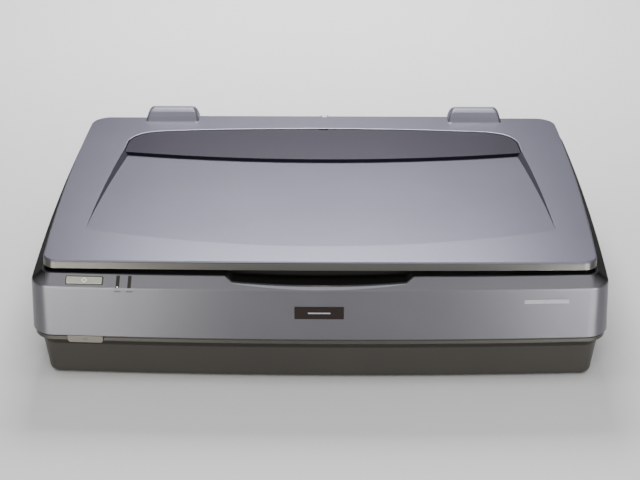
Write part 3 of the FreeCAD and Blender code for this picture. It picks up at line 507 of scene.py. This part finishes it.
def well_outline():
    """Finger well's section in XZ: slanted ends and a floor that sags to the middle."""
    top = WELL_TOP_HALF
    return [(-top, RIM_Z + 6), (-top, RIM_Z + 0.6)] + WELL_FLOOR + [(top, RIM_Z + 0.6), (top, RIM_Z + 6)]


def make_well_highlight():
    """Lighter strip along the lower edge of the finger well, widest in its middle: a painted highlight where
    the edge catches light.
    """
    up = Vector((0, BEVEL_RUN, BEVEL_RISE)) / BEVEL_RISE
    out = Vector((0, -BEVEL_RISE, BEVEL_RUN)).normalized()
    end_width, bulge, under_floor = 0.4, 1.9, 0.15
    rows = []
    for x, floor_z in WELL_FLOOR:
        crease = Vector((x, front_y(x, CREASE_INSET), CREASE_Z))
        width = end_width + bulge * (1 - (x / WELL_BOTTOM_HALF) ** 2)
        high = crease + up * (floor_z - CREASE_Z - under_floor)
        low = high - up * width
        rows.append([low + PROUD * out, high + PROUD * out, high - SUNK * out, low - SUNK * out])
    show(soften(skin("well_painted_highlight", rows)), "root", "housing_grey", finish="painted_highlight_grey")


def power_outline(gap):
    """Tab under the seam with rounded lower corners, in XZ."""
    half, low, high = POWER_HALF + gap, POWER_LOW_Z - gap, SEAM_Z - 0.4 + gap
    corners = [(-half, low, 3.2 + gap), (half, low, 3.2 + gap), (half, high, 0), (-half, high, 0)]
    return [tuple(p) for p in rounded(corners, 8)]


def power_hole():
    return prism("power_hole", power_outline(0.4), "y", -6, 24, front_frame(POWER_X, 0))


def make_upper_housing():
    # the crease is a narrow facet between the wall and the bevel
    crease = [(CREASE_INSET - 0.07, CREASE_Z - 1.5, 0.6), (CREASE_INSET + 0.24, CREASE_Z - 0.1, 0.35),
              (CREASE_INSET + 0.65, CREASE_Z + 0.54, 0.3)]
    profile = rounded([(WALL, SEAM_Z, 0.4), (0, SEAM_Z, 0.5)] + crease
                      + [(RIM_INSET, RIM_Z, 0.8), (BED_INSET, RIM_Z, 0.3), (BED_INSET, RIM_Z - 1.3, 0),
                         (CREASE_INSET + WALL, CREASE_Z - 0.8, 0)])
    shell = sweep("upper_shell", BASE, profile)
    cut(shell, prism("well", well_outline(), "y", -260, WELL_REAR_Y))
    post_x, post_y = POST_HALF_X + 0.9, POST_HALF_Y + 0.9
    for x in (-HINGE_X, HINGE_X):
        cut(shell, block("post_hole", x - post_x, x + post_x, PIVOT_Y - post_y, PIVOT_Y + post_y, 60, 200))
    gap = 0.8
    start_hole = rounded_outline(-START_HALF - gap, START_HALF + gap, START_LOW - gap, START_HIGH + gap, 1.7)
    cut(shell, prism("start_hole", start_hole, "y", -8, 8, bevel_frame(START_X)))
    for x in LED_XS:
        slit = rounded_outline(-2.0, 2.0, 0.3, BEVEL_LENGTH - 1.2, 0.4, 3)
        cut(shell, prism("led_hole", slit, "y", -8, 8, bevel_frame(x)))
    badge = rounded_outline(-BADGE_HALF, BADGE_HALF, *BADGE_Z, 0.6)
    strip = rounded_outline(-STRIP_HALF, STRIP_HALF, *STRIP_Z, 0.4)
    cut(shell, prism("lock_hole", disc_outline(LOCK_X, LOCK_Z, LOCK_RADIUS + 0.4), "y", 215, 245),
        prism("badge_seat", badge, "y", -3, 0.6, front_frame(0, BADGE_INSET)),
        prism("strip_seat", strip, "y", -3, 0.6, front_frame(STRIP_X, 2.0)))
    show(soften(shell), "root", "housing_grey", "upper_housing")


def make_lower_housing():
    floor_inset, tongue_top, tongue_inset = 23.4, LIP_TOP_Z + 5, WALL + 2.8
    # round the section: floor, body, cove under the lip, lip, tongue inside the upper housing, inner wall
    profile = rounded([
        (floor_inset, BODY_BOTTOM_Z, 0), (BODY_BOTTOM_INSET, BODY_BOTTOM_Z, 8.0),
        (BODY_TOP_INSET, LIP_BOTTOM_Z, 5.6), (LIP_INSET, LIP_BOTTOM_Z, 0.7),
        (LIP_INSET + 0.5, LIP_TOP_Z, 0.6), (WALL + 0.4, LIP_TOP_Z, 0),
        (WALL + 0.6, tongue_top, 0), (tongue_inset, tongue_top, 0),
        (tongue_inset, LIP_BOTTOM_Z + 2.6, 0), (BODY_TOP_INSET + WALL, LIP_BOTTOM_Z + 2.4, 0),
        (BODY_BOTTOM_INSET + WALL, FLOOR_TOP_Z, 0), (floor_inset, FLOOR_TOP_Z, 0)], 8)
    shell = stack("lower_shell", BASE, profile)
    cut(shell, power_hole(),
        block("port_window", PORT_WINDOW_X0, PORT_WINDOW_X1, 205, 232,
              PORT_Z - PORT_WINDOW_HALF, PORT_Z + PORT_WINDOW_HALF))
    for x, y in FEET:
        cut(shell, prism("foot_hole", disc_outline(x, y, FOOT_RADIUS), "z", -1, BODY_BOTTOM_Z + 1.0))
    show(soften(shell), "root", "base_dark", "lower_housing")


def make_side_shade_bands():
    """Dark bands on the two side bevels, from the front corners to the rear ones: painted shade that darkens
    the sides.
    """
    front_end, rear_end, inner_end, beyond = -216, 206, 304, 400
    out = Vector((-BEVEL_RISE, BEVEL_RUN)).normalized()
    low = Vector((CREASE_INSET + 0.9, CREASE_Z + 0.75))
    high = Vector((RIM_INSET - 0.4, RIM_Z - 0.35))
    band = [low + PROUD * out, high + PROUD * out, high - SUNK * out, low - SUNK * out]
    for name, x0, x1 in (("left", -inner_end, beyond), ("right", -beyond, inner_end)):
        trim = sweep("side_shade_band_" + name, BASE, band)
        cut(trim, block("front_part", -beyond, beyond, -260, front_end, 100, 150),
            block("rear_part", -beyond, beyond, rear_end, 260, 100, 150),
            block("other_side", x0, x1, -260, 260, 100, 150))
        show(soften(trim), "root", "housing_grey", finish="side_painted_shade")


# ---------------------------------------------------------------- lid
SIDE_ARC = ((271.6, DISH_FRONT_Y - 15.0), (266.8, -30.0), (CRESCENT_TIP_X, DISH_REAR_Y))
PLAIN, DISH, POCKET = 0, 1, 2


def dish_floor(x, y):
    """Height of the dish's floor over the lid's top plane."""
    return x * x / (2 * DISH_RADIUS) - DISH_SLOPE * (y - DISH_FRONT_Y)


def dish_tool(grow, drop):
    """Volume above the dish's floor, between its sloping sides."""
    across, top = 72, 8.0
    rows = []
    for half, y in circle_through(*SIDE_ARC, 84):
        edge = half + grow
        for _ in range(6):
            level = dish_floor(edge, y) - drop
            edge = half + grow + level
        row = [(u, y, dish_floor(u, y) - drop) for u in
               (-edge + 2 * edge * i / across for i in range(across + 1))]
        row += [(half + grow + top, y, top), (-half - grow - top, y, top)]
        rows.append([TILT @ Vector(p) for p in row])
    return skin("dish", rows)


def crescent_outline(gap):
    """Crescent: front arc, rounded tips and a shallow rear arc, shrunk by gap."""
    tip = (CRESCENT_TIP_X - gap, DISH_REAR_Y)
    bend = (253.2 - gap, 137.5)
    corner = (235.5 - 0.6 * gap, 165.2 - 0.8 * gap)
    shoulder = (205.0, 173.2 - gap)
    side = [tuple(Vector(tip).lerp(Vector(bend), i / 6)) for i in range(6)]
    side += circle_through(bend, (246.9 - 0.8 * gap, 153.4 - 0.6 * gap), corner, 14)[:-1]
    side += circle_through(corner, (221.0 - 0.3 * gap, 170.3 - gap), shoulder, 12)
    rear = circle_through(shoulder, (0, 182.4 - gap), (-shoulder[0], shoulder[1]), 48)
    left = [(-x, y) for x, y in reversed(side)]
    front = circle_through((-tip[0], tip[1]), (0, 86.5), tip, 60)
    return side[:-1] + rear[:-1] + left[:-1] + front[:-1]


def layered(name, outlines):
    """A solid through (outline, height over the lid's top plane) layers."""
    return skin(name, [[TILT @ Vector((x, y, z)) for x, y in points] for points, z in outlines])


def pocket_tool(grow, drop, flare=0.0):
    """The crescent's pocket; flare is the width of the shallow bevel round its upper rim."""
    layers = [(crescent_outline(-grow), -POCKET_DEPTH - drop), (crescent_outline(-grow), -0.22 * flare)]
    return layered("pocket", layers + [(crescent_outline(-grow - flare), 0.02),
                                       (crescent_outline(-grow - flare), 4.0)])


def lid_ring(inset, height):
    """The lid's outline at height(y), on its leaning front wall, moved inwards by inset."""
    ring = []
    for (low, normal), (high, _) in zip(outline(LID), outline(LID_HIGH)):
        point = low
        for _ in range(4):
            rise = max(height(point.y) - LID_BOTTOM_Z, 0) / (LID_HIGH_Z - LID_BOTTOM_Z)
            point = low.lerp(high, rise)
        point = point - normal * inset
        ring.append((point.x, point.y, height(point.y)))
    return ring


def lid_solid(inset, low, top_drop, edge):
    """The lid's outline as a solid under its top plane, with the deeper rear edge in its middle."""
    def under_top(drop):
        return lambda y: lid_top_z(y) - top_drop - drop
    rings = [lid_ring(inset, lambda y: low)]
    if low < LID_BOTTOM_Z:
        rings.append(lid_ring(inset, lambda y: LID_BOTTOM_Z))
    steps = quarter_round(edge, 6) if edge else [(0, 0)]
    rings += [lid_ring(inset + inwards, under_top(down)) for inwards, down in steps]
    body = skin("lid_body", rings)
    front, rear = 200, LIP_REAR_Y - inset
    top = [(rear - inwards, lid_top_z(rear) - top_drop - down) for inwards, down in steps]
    section = [(front, low), (rear, low)] + top + [(front, lid_top_z(front) - top_drop)]
    return combine(body, prism("lid_lip", section, "x", -LIP_HALF_X + inset, LIP_HALF_X - inset), "UNION")


def tag(piece, mark):
    """Mark every face, so that the edges where it meets the rest can stay sharp."""
    for _ in (PLAIN, DISH, POCKET):
        piece.data.materials.append(None)
    for polygon in piece.data.polygons:
        polygon.material_index = mark
    return piece


def keep_joins_sharp(piece):
    """Sharpen every edge between faces that carry different marks."""
    marks = {}
    for polygon in piece.data.polygons:
        for key in polygon.edge_keys:
            marks.setdefault(key, set()).add(polygon.material_index)
    for edge in piece.data.edges:
        if len(marks.get(edge.key, ())) > 1:
            edge.use_edge_sharp = True
    return piece


def make_lid_shell():
    shell = tag(lid_solid(0, LID_BOTTOM_Z, 0, LID_EDGE_RADIUS), PLAIN)
    cavity = cut(lid_solid(LID_WALL, LID_BOTTOM_Z - 5, LID_WALL, 0), dish_tool(LID_WALL, LID_WALL),
                 pocket_tool(LID_WALL, LID_WALL))
    cut(shell, tag(dish_tool(0, 0), DISH), tag(pocket_tool(0, 0, 0.9), POCKET), tag(cavity, PLAIN))
    notch_half = 23.5
    for x in (-HINGE_X, HINGE_X):
        cut(shell, tag(block("notch", x - notch_half, x + notch_half, 207, 235, 120, 160), PLAIN))
    # small nub in the middle of the rear edge
    nub = skin("nub", [[(x, y, z) for x, z in rounded_outline(-3, 6, LID_REAR_TOP_Z - 2.5, top, 1.2, 8)]
                       for y, top in ((219.5, LID_REAR_TOP_Z - 0.1), (223.5, LID_REAR_TOP_Z + 1.3),
                                      (LIP_REAR_Y, LID_REAR_TOP_Z + 1.5))])
    combine(shell, tag(nub, PLAIN), "UNION")
    keep_joins_sharp(soften(shell))
    show(shell, "lid", "lid_silver", "lid_shell")


def lid_band(name, low_z, high_z, proud, slot, finish):
    """Band round the lid's front and side walls, its edges turned in."""
    profile = rounded([(0.5, low_z, 0), (-proud, low_z, 0.2), (-proud, high_z, 0.1), (0.5, high_z, 0)], 3)
    rows = []
    for (low, normal), (high, _) in zip(outline(LID), outline(LID_HIGH)):
        row = []
        for inset, z in profile:
            point = low.lerp(high, (z - LID_BOTTOM_Z) / (LID_HIGH_Z - LID_BOTTOM_Z)) - normal * inset
            row.append((point.x, point.y, z))
        rows.append(row)
    band = skin(name, rows, wrap_rows=True)
    cut(band, block("rear_part", -400, 400, 195, 260, 100, 180))
    show(soften(band), "lid", slot, finish=finish)


def make_lid_bands():
    line_top, line_bottom, trim_top = (LID_FRONT_TOP_Z - drop for drop in (1.3, 2.45, 2.5))
    lid_band("lid_trim", LID_BOTTOM_Z + 0.05, trim_top, 0.06, "housing_grey", "trim_grey")
    lid_band("lid_trim_line", line_bottom, line_top, 0.05, "rule_grey", "black_plastic")


def make_crescent():
    """Plate that dips a little towards its front edge, over a set-back apron with a level foot."""
    apron_gap, plate_gap, crown_gap, crown = 2.4, 0.35, 1.7, 0.2
    dip_start_y, dip_reach = 170.0, 84.0
    high = -CRESCENT_DROP
    layers = [(apron_gap, -POCKET_DEPTH + 0.1, 0.0), (apron_gap, high - 1.1, CRESCENT_DIP),
              (plate_gap, high - 1.0, CRESCENT_DIP)]
    layers += [(plate_gap + inwards, high - crown - down, CRESCENT_DIP)
               for inwards, down in quarter_round(0.4, 5)]
    layers.append((crown_gap, high, CRESCENT_DIP))
    rows = []
    for gap, z, dip in layers:
        rows.append([TILT @ Vector((x, y, z - dip * min(max(dip_start_y - y, 0.0) / dip_reach, 1.0)))
                     for x, y in crescent_outline(gap)])
    plate = skin("crescent", rows)
    notch = [(-6.5, 178.4), (6.5, 178.4), (6.5, 190), (-6.5, 190)]
    cut(plate, prism("crescent_notch", notch, "z", -5, 5, TILT))
    show(soften(plate), "lid", "crescent_dark", "lid_crescent")


def height_along(points, u):
    """Height at u on a broken line of (u, height) points."""
    for (u0, z0), (u1, z1) in zip(points, points[1:]):
        if u <= u1:
            return z0 + (z1 - z0) * (u - u0) / (u1 - u0)
    return points[-1][1]


HOOD_TOP = 159.8
RAMP = ((201.5, 146.4), (203.5, 147.6), (208.0, 152.6), (213.0, 157.2), (217.5, 159.2), (221.0, HOOD_TOP),
        (227.9, HOOD_TOP), (229.0, 158.7))
HOOD = ((0.0, HOOD_TOP), (25.6, HOOD_TOP), (28.6, 158.6), (31.6, 155.6), (34.0, 151.0), (35.2, 147.0))


def lower_of(a, b):
    """The lower of two heights under the hood's top, with the join between them rounded over."""
    return HOOD_TOP - ((HOOD_TOP - a) ** 3 + (HOOD_TOP - b) ** 3) ** (1 / 3)


def hood_solid(name, centre, gap, base):
    """The hood's volume, shrunk by gap, down to base(y)."""
    across, deep, half_x = 64, 52, HOOD[-1][0] - gap
    front, rear = RAMP[0][0] + gap, RAMP[-1][0] - gap
    rows = []
    for j in range(deep + 1):
        y = front + (rear - front) * j / deep
        row = []
        for i in range(across + 1):
            u = half_x * (2 * i / across - 1)
            over_side = height_along(HOOD, abs(u) + gap * abs(u) / half_x)
            z = lower_of(over_side, height_along(RAMP, y)) - gap
            row.append((centre + u, y, max(z, base(y) + 0.02)))
        rows.append(row + [(centre + half_x, y, base(y)), (centre - half_x, y, base(y))])
    return skin(name, rows)


def make_hinge_cover(side):
    """Hollow hood over one hinge: a ramp from the lid's top, rounded into its two sides."""
    name = "left" if side < 0 else "right"

    def foot(y):
        return lid_top_z(y) + 0.001 if y < LIP_REAR_Y else 146.0
    hood = hood_solid("hood_" + name, side * HINGE_X, 0, foot)
    cut(hood, hood_solid("hollow", side * HINGE_X, 2.2, lambda y: 140.0))
    # the covers take a brighter copy of the lid silver: painted light
    show(soften(hood, 40), "lid", "lid_silver", "hinge_cover_" + name, finish="cover_silver_painted_light")


def make_foam_pad():
    """Foam block under the lid, with soft edges."""
    low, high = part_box("lid_foam_pad")
    x0, y0, z0 = (c / MM for c in low)
    x1, y1, z1 = (c / MM for c in high)
    levels = [(1.0, z0), (0.3, z0 + 0.25), (0.0, z0 + 0.9), (0.0, z1 - 0.9), (0.3, z1 - 0.25), (1.0, z1)]
    rows = [[(x, y, z) for x, y in rounded_outline(x0 + gap, x1 - gap, y0 + gap, y1 - gap, 5.0, 8)]
            for gap, z in levels]
    pad = skin("foam_pad", rows)
    show(soften(pad, 50), "lid", "foam_white", "lid_foam_pad")


# ---------------------------------------------------------------- controls
def key_cap(name, outline_at, levels, matrix):
    """A cap through (gap, y) layers of an XZ outline; y runs inwards."""
    rows = [[matrix @ Vector((x, y, z)) for x, z in outline_at(gap)] for gap, y in levels]
    return skin(name, rows)


def round_over(face, radius):
    """(gap, y) layers of a rounded front edge that ends on the face."""
    return [(inwards, face + down) for inwards, down in quarter_round(radius, 4)]


def flat_mark(name, rings, matrix, face, body, slot):
    """Thin printed mark on a face; rings are outlines, the later ones cut out of the first."""
    mark = prism(name, rings[0], "y", face - 0.04, face + 0.2, matrix)
    for ring in rings[1:]:
        cut(mark, prism("hole", ring, "y", face - 2, face + 2, matrix))
    return show(mark, body, slot)


def diamond(x, z, reach):
    return [(x - reach, z), (x, z - reach), (x + reach, z), (x, z + reach)]


def make_controls():
    def start_outline(gap):
        return rounded_outline(-START_HALF + gap, START_HALF - gap, START_LOW + gap, START_HIGH - gap,
                               max(1.2 - gap, 0.3))
    place = bevel_frame(START_X)
    cap = key_cap("start_cap", start_outline, [(0, 1.6)] + round_over(-1.2, 0.6), place)
    stem = prism("stem", [(-6, 5), (6, 5), (6, 11), (-6, 11)], "y", 1.5, 6.5, place)
    show(soften(combine(cap, stem, "UNION")), "start_key", "button_silver", "start_button")
    middle = (START_LOW + START_HIGH) / 2
    flat_mark("start_mark", [diamond(0, middle, 3.3), diamond(0, middle, 2.3)], place, -1.2,
              "start_key", "mat_white")

    place = front_frame(POWER_X, 0.4)
    cap = key_cap("power_cap", lambda gap: power_outline(-gap), [(0, 6.0)] + round_over(-0.2, 0.6), place)
    stem = prism("stem", [(-6, 52.6), (6, 52.6), (6, 58), (-6, 58)], "y", 5.9, 16, place)
    show(soften(combine(cap, stem, "UNION")), "power_key", "power_grey", "power_button")
    for x in (-1.7, 0, 1.7):
        bar = rounded_outline(x - 0.3, x + 0.3, 53.9, 57.5, 0.25, 3)
        flat_mark("power_bar_" + str(round(x + 2)), [bar], place, -0.2, "power_key", "rule_grey")

    # status lights: a lit dot at the foot of the first window, a plain dash under each
    dot = disc_outline(0, 1.3, 0.9, 16)
    flat_mark("status_dot", [dot], bevel_frame(LED_XS[0]), -0.1, "root", "mat_white")
    for name, x in zip(("status_dash_left", "status_dash_right"), LED_XS):
        dash = rounded_outline(-3.6, 3.6, 115.6, 117.2, 0.3, 3)
        flat_mark(name, [dash], front_frame(x, CREASE_INSET - 0.3), -0.03, "root", "rule_grey")
    dash = rounded_outline(-12.5, 12.5, 92.6, 94.2, 0.7, 4)
    flat_mark("badge_dash", [dash], front_frame(0, BADGE_INSET), -0.9, "root", "strip_silver")


def make_seam_shade():
    """Dark strip in the groove between the two housings: painted shade that makes the seam read as a
    shadowed gap.
    """
    outer, front, back = LIP_INSET + 0.8, WALL + 0.2, WALL + 0.45
    under, over, top = LIP_TOP_Z - 0.1, LIP_TOP_Z + 0.04, LIP_TOP_Z + 4.5
    strip = [(outer, under), (outer, over), (front, over), (front, top), (back, top), (back, under)]
    # the strip is painted shade that darkens the seam
    seal = sweep("seam_shade_strip", BASE, strip)
    cut(seal, power_hole())
    show(soften(seal), "root", "rubber_black")

    # darker strip along the top of the body, tucked under the lip: painted shade where the lip's shadow
    # falls
    slope = (BODY_BOTTOM_INSET - BODY_TOP_INSET) / (LIP_BOTTOM_Z - BODY_BOTTOM_Z)
    low_z, high_z = LIP_BOTTOM_Z - 8.6, LIP_BOTTOM_Z - 1.0
    low_inset = BODY_TOP_INSET + slope * (LIP_BOTTOM_Z - low_z)
    shade_profile = rounded([(low_inset + 0.4, low_z, 0), (low_inset - 0.15, low_z, 0.1),
                    (BODY_TOP_INSET - 0.4, LIP_BOTTOM_Z - 4.0, 2.0),
                    (BODY_TOP_INSET - 3.4, high_z, 0), (BODY_TOP_INSET + 1.0, high_z, 0)])
    moulding = sweep("lip_painted_shade", BASE, shade_profile)
    cut(moulding, power_hole())
    show(soften(moulding), "root", "base_dark", finish="under_lip_painted_shade")


make_upper_housing()
make_well_highlight()
make_lower_housing()
make_lid_shell()
make_lid_bands()
make_crescent()
for side in (-1, 1):
    make_hinge_cover(side)
make_foam_pad()
make_controls()
make_seam_shade()
make_side_shade_bands()

# ---------------------------------------------------------------- camera, floor and light
camera_data = bpy.data.cameras.new("camera")
camera_data.lens = 88.03
camera_data.sensor_width = 36.0
camera = bpy.data.objects.new("camera", camera_data)
bpy.context.scene.collection.objects.link(camera)
camera.matrix_world = (Matrix.Translation((0.0209, -1.7421, 0.9286))
                       @ Matrix.Rotation(math.radians(0.75), 4, "Z")
                       @ Matrix.Rotation(math.radians(63.80), 4, "X")
                       @ Matrix.Rotation(math.radians(-0.10), 4, "Z"))
bpy.context.scene.camera = camera

FLOOR_HALF = 40000
floor = new_piece("floor", [(-FLOOR_HALF, -FLOOR_HALF, 0), (FLOOR_HALF, -FLOOR_HALF, 0),
                            (FLOOR_HALF, FLOOR_HALF, 0), (-FLOOR_HALF, FLOOR_HALF, 0)], [(0, 1, 2, 3)])
floor.data.materials.append(moulded("floor_white", (0.92, 0.92, 0.92), 0.85, grain=20, relief=0.01,
                                    tone=0.01))


def softbox(name, place, target, width, height, power, colour=(1, 1, 1)):
    light = bpy.data.lights.new(name, "AREA")
    light.shape = "RECTANGLE"
    light.size, light.size_y = width, height
    light.energy = power
    light.color = colour
    lamp = bpy.data.objects.new(name, light)
    bpy.context.scene.collection.objects.link(lamp)
    lamp.location = place
    lamp.rotation_euler = (Vector(target) - Vector(place)).to_track_quat("-Z", "Y").to_euler()


def studio_world(level):
    """Dim even surroundings that brighten overhead."""
    world = bpy.data.worlds.new("world")
    bpy.context.scene.world = world
    world.use_nodes = True
    nodes, links = world.node_tree.nodes, world.node_tree.links
    place = nodes.new("ShaderNodeTexCoord")
    split = nodes.new("ShaderNodeSeparateXYZ")
    ramp = nodes.new("ShaderNodeValToRGB")
    links.new(place.outputs["Generated"], split.inputs["Vector"])
    links.new(split.outputs["Z"], ramp.inputs["Fac"])
    links.new(ramp.outputs["Color"], nodes["Background"].inputs["Color"])
    ramp.color_ramp.elements[0].position = 0.1
    ramp.color_ramp.elements[0].color = (0.05, 0.05, 0.055, 1)
    ramp.color_ramp.elements[1].position = 0.75
    ramp.color_ramp.elements[1].color = (1.0, 1.0, 1.02, 1)
    nodes["Background"].inputs["Strength"].default_value = level


TARGET = (0, 0, 0.1)
studio_world(0.24)
softbox("softbox_rear", (-0.03, 1.25, 1.42), (-0.03, 1.25, 0.0), 0.85, 0.8, 42)
softbox("softbox_top_left", (-0.8, -0.5, 2.3), TARGET, 0.9, 1.0, 8)
softbox("softbox_top_right", (0.85, -0.5, 2.3), TARGET, 0.9, 1.0, 7)
softbox("softbox_front", (0.0, -2.3, 2.1), TARGET, 1.8, 0.25, 22)
softbox("softbox_left", (-0.72, -1.10, 0.08), (-0.25, -0.2, 0.08), 0.75, 0.14, 11, (1.0, 0.98, 0.93))
softbox("softbox_right", (0.78, -1.06, 0.08), (0.25, -0.2, 0.08), 0.75, 0.14, 13)
